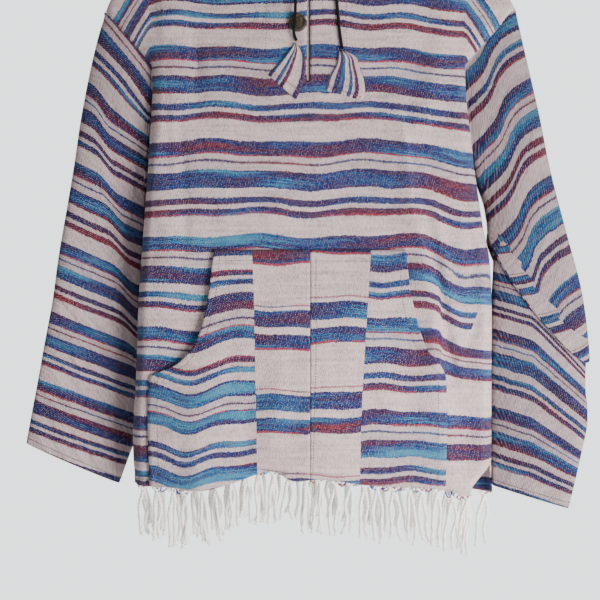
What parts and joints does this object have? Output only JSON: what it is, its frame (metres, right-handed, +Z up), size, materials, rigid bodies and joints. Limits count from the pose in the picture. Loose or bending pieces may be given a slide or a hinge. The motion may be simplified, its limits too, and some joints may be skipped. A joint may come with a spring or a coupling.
{
  "type": "hooded fringed pullover poncho on a hanger",
  "caption": "Hand-woven striped hooded pullover with long sleeves, kangaroo pocket, neck slit, drawstring and fringed hem, hanging on a plain hanger.",
  "frame": {"origin": "inner top of the hanger's hook, where a rail holds it, on the garment's middle plane between front and back", "axes": "+X to the viewer's right across the shoulders, +Y from the front to the back, +Z up"},
  "size_m": [0.7735, 0.149, 0.9254],
  "materials": {
    "woven_stripe": "coarse hand-woven cotton, cream with blue, purple, teal and red stripes",
    "tab_cloth": "the same striped cloth, folded",
    "fringe_yarn": "off-white loosely twisted cotton yarn",
    "cord_black": "black braided cord",
    "button_brown": "dark brown mottled button",
    "hanger_wood": "plain varnished beech",
    "hanger_steel": "bright wire"
  },
  "bodies": {
    "root": {"front_panel": "woven_stripe", "back_panel": "woven_stripe", "sleeve_left": "woven_stripe", "sleeve_right": "woven_stripe", "hood_left": "woven_stripe", "hood_right": "woven_stripe", "pocket_left": "woven_stripe", "pocket_right": "woven_stripe", "placket_facing": "woven_stripe", "button": "button_brown", "cord_left": "cord_black", "cord_right": "cord_black", "tab_left": "tab_cloth", "tab_right": "tab_cloth", "fringe_front": "fringe_yarn", "fringe_back": "fringe_yarn", "hanger_arms": "hanger_wood", "hanger_hook": "hanger_steel"}
  },
  "joints": []
}
